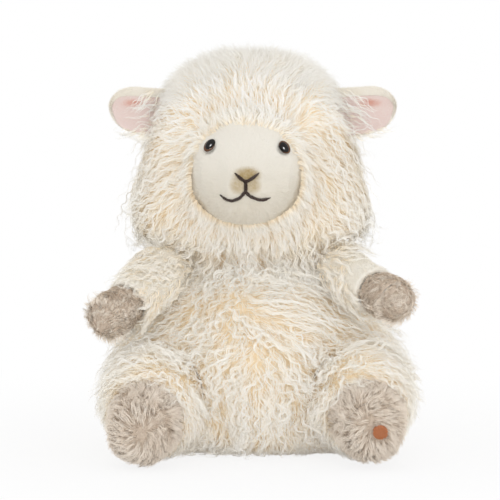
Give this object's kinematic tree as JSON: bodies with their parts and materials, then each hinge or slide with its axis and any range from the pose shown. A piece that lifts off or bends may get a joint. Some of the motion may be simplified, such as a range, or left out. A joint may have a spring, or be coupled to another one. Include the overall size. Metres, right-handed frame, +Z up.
{
  "type": "plush sheep",
  "caption": "Seated stuffed sheep with long wool, a smooth face, side-set ears and soft paws; the head turns and nods, and ears, arms, legs and tail flex.",
  "frame": {"origin": "on the plane that the sheep sits on, under the middle of its box", "axes": "+Z up; the sheep looks along -Y; +X is the viewer's right, seen from in front"},
  "size_m": [0.2306, 0.2498, 0.2704],
  "materials": {
    "long_wool": "long wavy pile, matt",
    "short_plush": "short plush, matt",
    "pink_plush": "short pink plush, matt",
    "taupe_fur": "short dense fur, matt",
    "filling": "loose polyester fibre",
    "pouch_cloth": "thin woven cloth",
    "pellets": "small moulded pellets",
    "eye_black": "polished black",
    "eye_brown": "polished dark brown",
    "washer_white": "plain moulded",
    "dark_thread": "satin stitch thread",
    "copper_thread": "satin stitch thread"
  },
  "bodies": {
    "torso": {"torso_cover": "long_wool", "torso_stuffing": "filling", "pellet_pouch": "pouch_cloth", "pellet_fill": "pellets"},
    "neck": {"neck_cover": "long_wool", "neck_stuffing": "filling"},
    "head": {"head_hood": "long_wool", "face_panel": "short_plush", "head_stuffing": "filling", "eye_dome_left": "eye_black", "eye_dome_right": "eye_black", "eye_ring_left": "eye_brown", "eye_ring_right": "eye_brown", "eye_washer_left": "washer_white", "eye_washer_right": "washer_white", "nose_stitches": "dark_thread", "philtrum_stitches": "dark_thread", "mouth_stitches": "dark_thread"},
    "ear_left": {"ear_back_left": "short_plush", "ear_lining_left": "pink_plush"},
    "arm_left": {"arm_sleeve_left": "short_plush", "paw_cover_left": "taupe_fur", "paw_pad_left": "taupe_fur", "arm_stuffing_left": "filling"},
    "leg_left": {"leg_cover_left": "long_wool", "foot_cover_left": "taupe_fur", "sole_panel_left": "taupe_fur", "leg_stuffing_left": "filling"},
    "ear_right": {"ear_back_right": "short_plush", "ear_lining_right": "pink_plush"},
    "arm_right": {"arm_sleeve_right": "short_plush", "paw_cover_right": "taupe_fur", "paw_pad_right": "taupe_fur", "arm_stuffing_right": "filling"},
    "leg_right": {"leg_cover_right": "long_wool", "foot_cover_right": "taupe_fur", "sole_panel_right": "taupe_fur", "leg_stuffing_right": "filling", "sole_dot_stitches": "copper_thread"},
    "tail": {"tail_cover": "long_wool", "tail_stuffing": "filling"}
  },
  "joints": [
    {"name": "neck_turn", "type": "hinge", "parent": "torso", "child": "neck", "pos_m": [-0.0007, 0.01925, 0.132], "axis": [0, 0, 1], "range_deg": [-30, 30], "stiffness_Nm_per_rad": 1},
    {"name": "head_nod", "type": "hinge", "parent": "neck", "child": "head", "pos_m": [-0.0007, 0.01925, 0.132], "axis": [1, 0, 0], "range_deg": [-10, 12], "stiffness_Nm_per_rad": 1.5},
    {"name": "ear_flap_left", "type": "hinge", "parent": "head", "child": "ear_left", "pos_m": [-0.06765, 0.01717, 0.23569], "axis": [0.1488, 0.9889, 0], "range_deg": [-12, 25], "stiffness_Nm_per_rad": 0.05},
    {"name": "ear_flap_right", "type": "hinge", "parent": "head", "child": "ear_right", "pos_m": [0.06582, 0.01134, 0.23366], "axis": [0.0612, -0.9981, 0], "range_deg": [-12, 25], "stiffness_Nm_per_rad": 0.05},
    {"name": "arm_lift_left", "type": "hinge", "parent": "torso", "child": "arm_left", "pos_m": [-0.062, -0.00371, 0.1211], "axis": [-0.7986, 0.6018, 0], "range_deg": [-5, 30], "stiffness_Nm_per_rad": 0.25},
    {"name": "arm_lift_right", "type": "hinge", "parent": "torso", "child": "arm_right", "pos_m": [0.06346, -0.00371, 0.1218], "axis": [-0.8387, -0.5446, 0], "range_deg": [-5, 30], "stiffness_Nm_per_rad": 0.25},
    {"name": "leg_lift_left", "type": "hinge", "parent": "torso", "child": "leg_left", "pos_m": [-0.06557, -0.04781, 0.0399], "axis": [-1, 0, 0], "range_deg": [-15, 25], "stiffness_Nm_per_rad": 0.35},
    {"name": "leg_lift_right", "type": "hinge", "parent": "torso", "child": "leg_right", "pos_m": [0.07417, -0.04655, 0.04102], "axis": [-1, 0, 0], "range_deg": [-15, 25], "stiffness_Nm_per_rad": 0.35},
    {"name": "tail_wag", "type": "hinge", "parent": "torso", "child": "tail", "pos_m": [0.0043, 0.10075, 0.0448], "axis": [1, 0, 0], "range_deg": [-15, 25], "stiffness_Nm_per_rad": 0.05}
  ]
}
